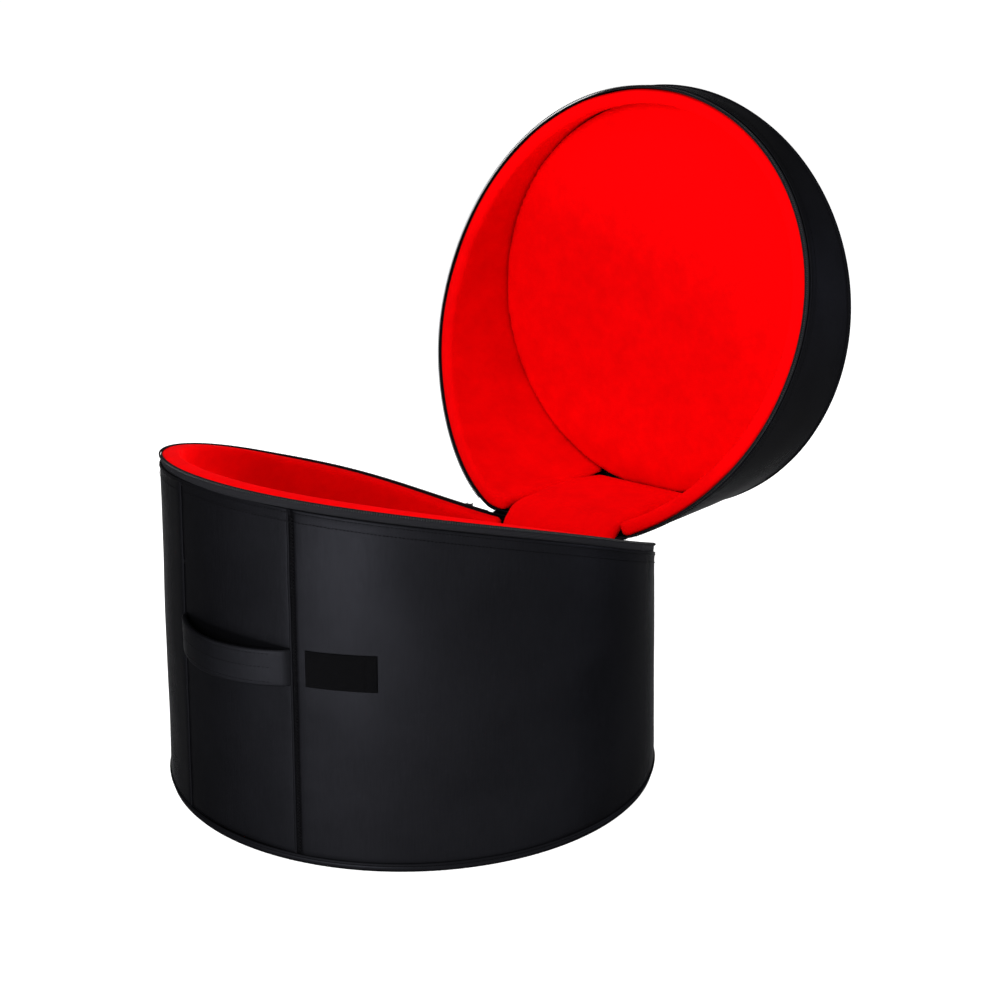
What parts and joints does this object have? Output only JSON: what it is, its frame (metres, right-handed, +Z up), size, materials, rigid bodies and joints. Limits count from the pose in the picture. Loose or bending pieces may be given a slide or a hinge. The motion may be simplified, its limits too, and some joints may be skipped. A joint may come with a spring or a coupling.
{
  "type": "padded drum bag",
  "caption": "Soft padded round bag for a bass drum, with a slanted clamshell lid on a cloth hinge, a zipped rim, a plush lining and a front handle.",
  "frame": {"origin": "centre of the underside, on the surface the bag stands on", "axes": "+Z up, handle towards -Y, hinge towards +Y, X across the bag"},
  "size_m": [0.5333, 0.7588, 0.7037],
  "materials": {
    "outer_cloth": "satin",
    "piping": "matte",
    "foam": "matte",
    "plush_lining": "matte",
    "zipper_tape": "matte",
    "zipper_coil": "satin",
    "slider_metal": "satin",
    "webbing": "satin",
    "label_cloth": "matte"
  },
  "bodies": {
    "base": {"base_bottom_panel": "outer_cloth", "base_bottom_piping": "piping", "base_side_panel_left": "outer_cloth", "base_side_panel_right": "outer_cloth", "handle_panel": "outer_cloth", "base_hinge_panel": "outer_cloth", "front_seam_left": "piping", "front_seam_right": "piping", "base_wall_pad": "foam", "base_hinge_pad": "foam", "base_wall_lining": "plush_lining", "base_hinge_lining": "plush_lining", "base_floor_pad": "foam", "base_floor_lining": "plush_lining", "base_zipper_tape": "zipper_tape", "base_zipper_coil": "zipper_coil", "base_hinge_binding": "piping", "zipper_slider_left": "slider_metal", "zipper_slider_right": "slider_metal", "handle_tab_left": "webbing", "handle_tab_right": "webbing", "label_patch": "label_cloth", "hinge_flap": "outer_cloth"},
    "lid": {"lid_top_panel": "outer_cloth", "lid_top_piping": "piping", "lid_side_panel": "outer_cloth", "lid_hinge_panel": "outer_cloth", "lid_wall_pad": "foam", "lid_hinge_pad": "foam", "lid_wall_lining": "plush_lining", "lid_hinge_lining": "plush_lining", "lid_disc_pad": "foam", "lid_disc_lining": "plush_lining", "lid_zipper_tape": "zipper_tape", "lid_zipper_coil": "zipper_coil", "lid_hinge_binding": "piping"},
    "handle": {"handle_strap": "webbing"},
    "pull_left": {"zipper_pull_left": "slider_metal"},
    "pull_right": {"zipper_pull_right": "slider_metal"}
  },
  "joints": [
    {"name": "lid_hinge", "type": "hinge", "parent": "base", "child": "lid", "pos_m": [0, 0.24307, 0.207], "axis": [-1, 0, 0], "range_deg": [-91.4, 55], "deforming": ["hinge_flap"]},
    {"name": "handle_lift", "type": "hinge", "parent": "base", "child": "handle", "pos_m": [0, -0.2545, 0.219], "axis": [-1, 0, 0], "range_deg": [0, 60]},
    {"name": "pull_left_swing", "type": "hinge", "parent": "base", "child": "pull_left", "pos_m": [-0.12075, 0.23698, 0.20976], "axis": [0.891, 0.454, 0], "range_deg": [0, 90]},
    {"name": "pull_right_swing", "type": "hinge", "parent": "base", "child": "pull_right", "pos_m": [0.12075, 0.23698, 0.20976], "axis": [0.891, -0.454, 0], "range_deg": [0, 90]}
  ]
}
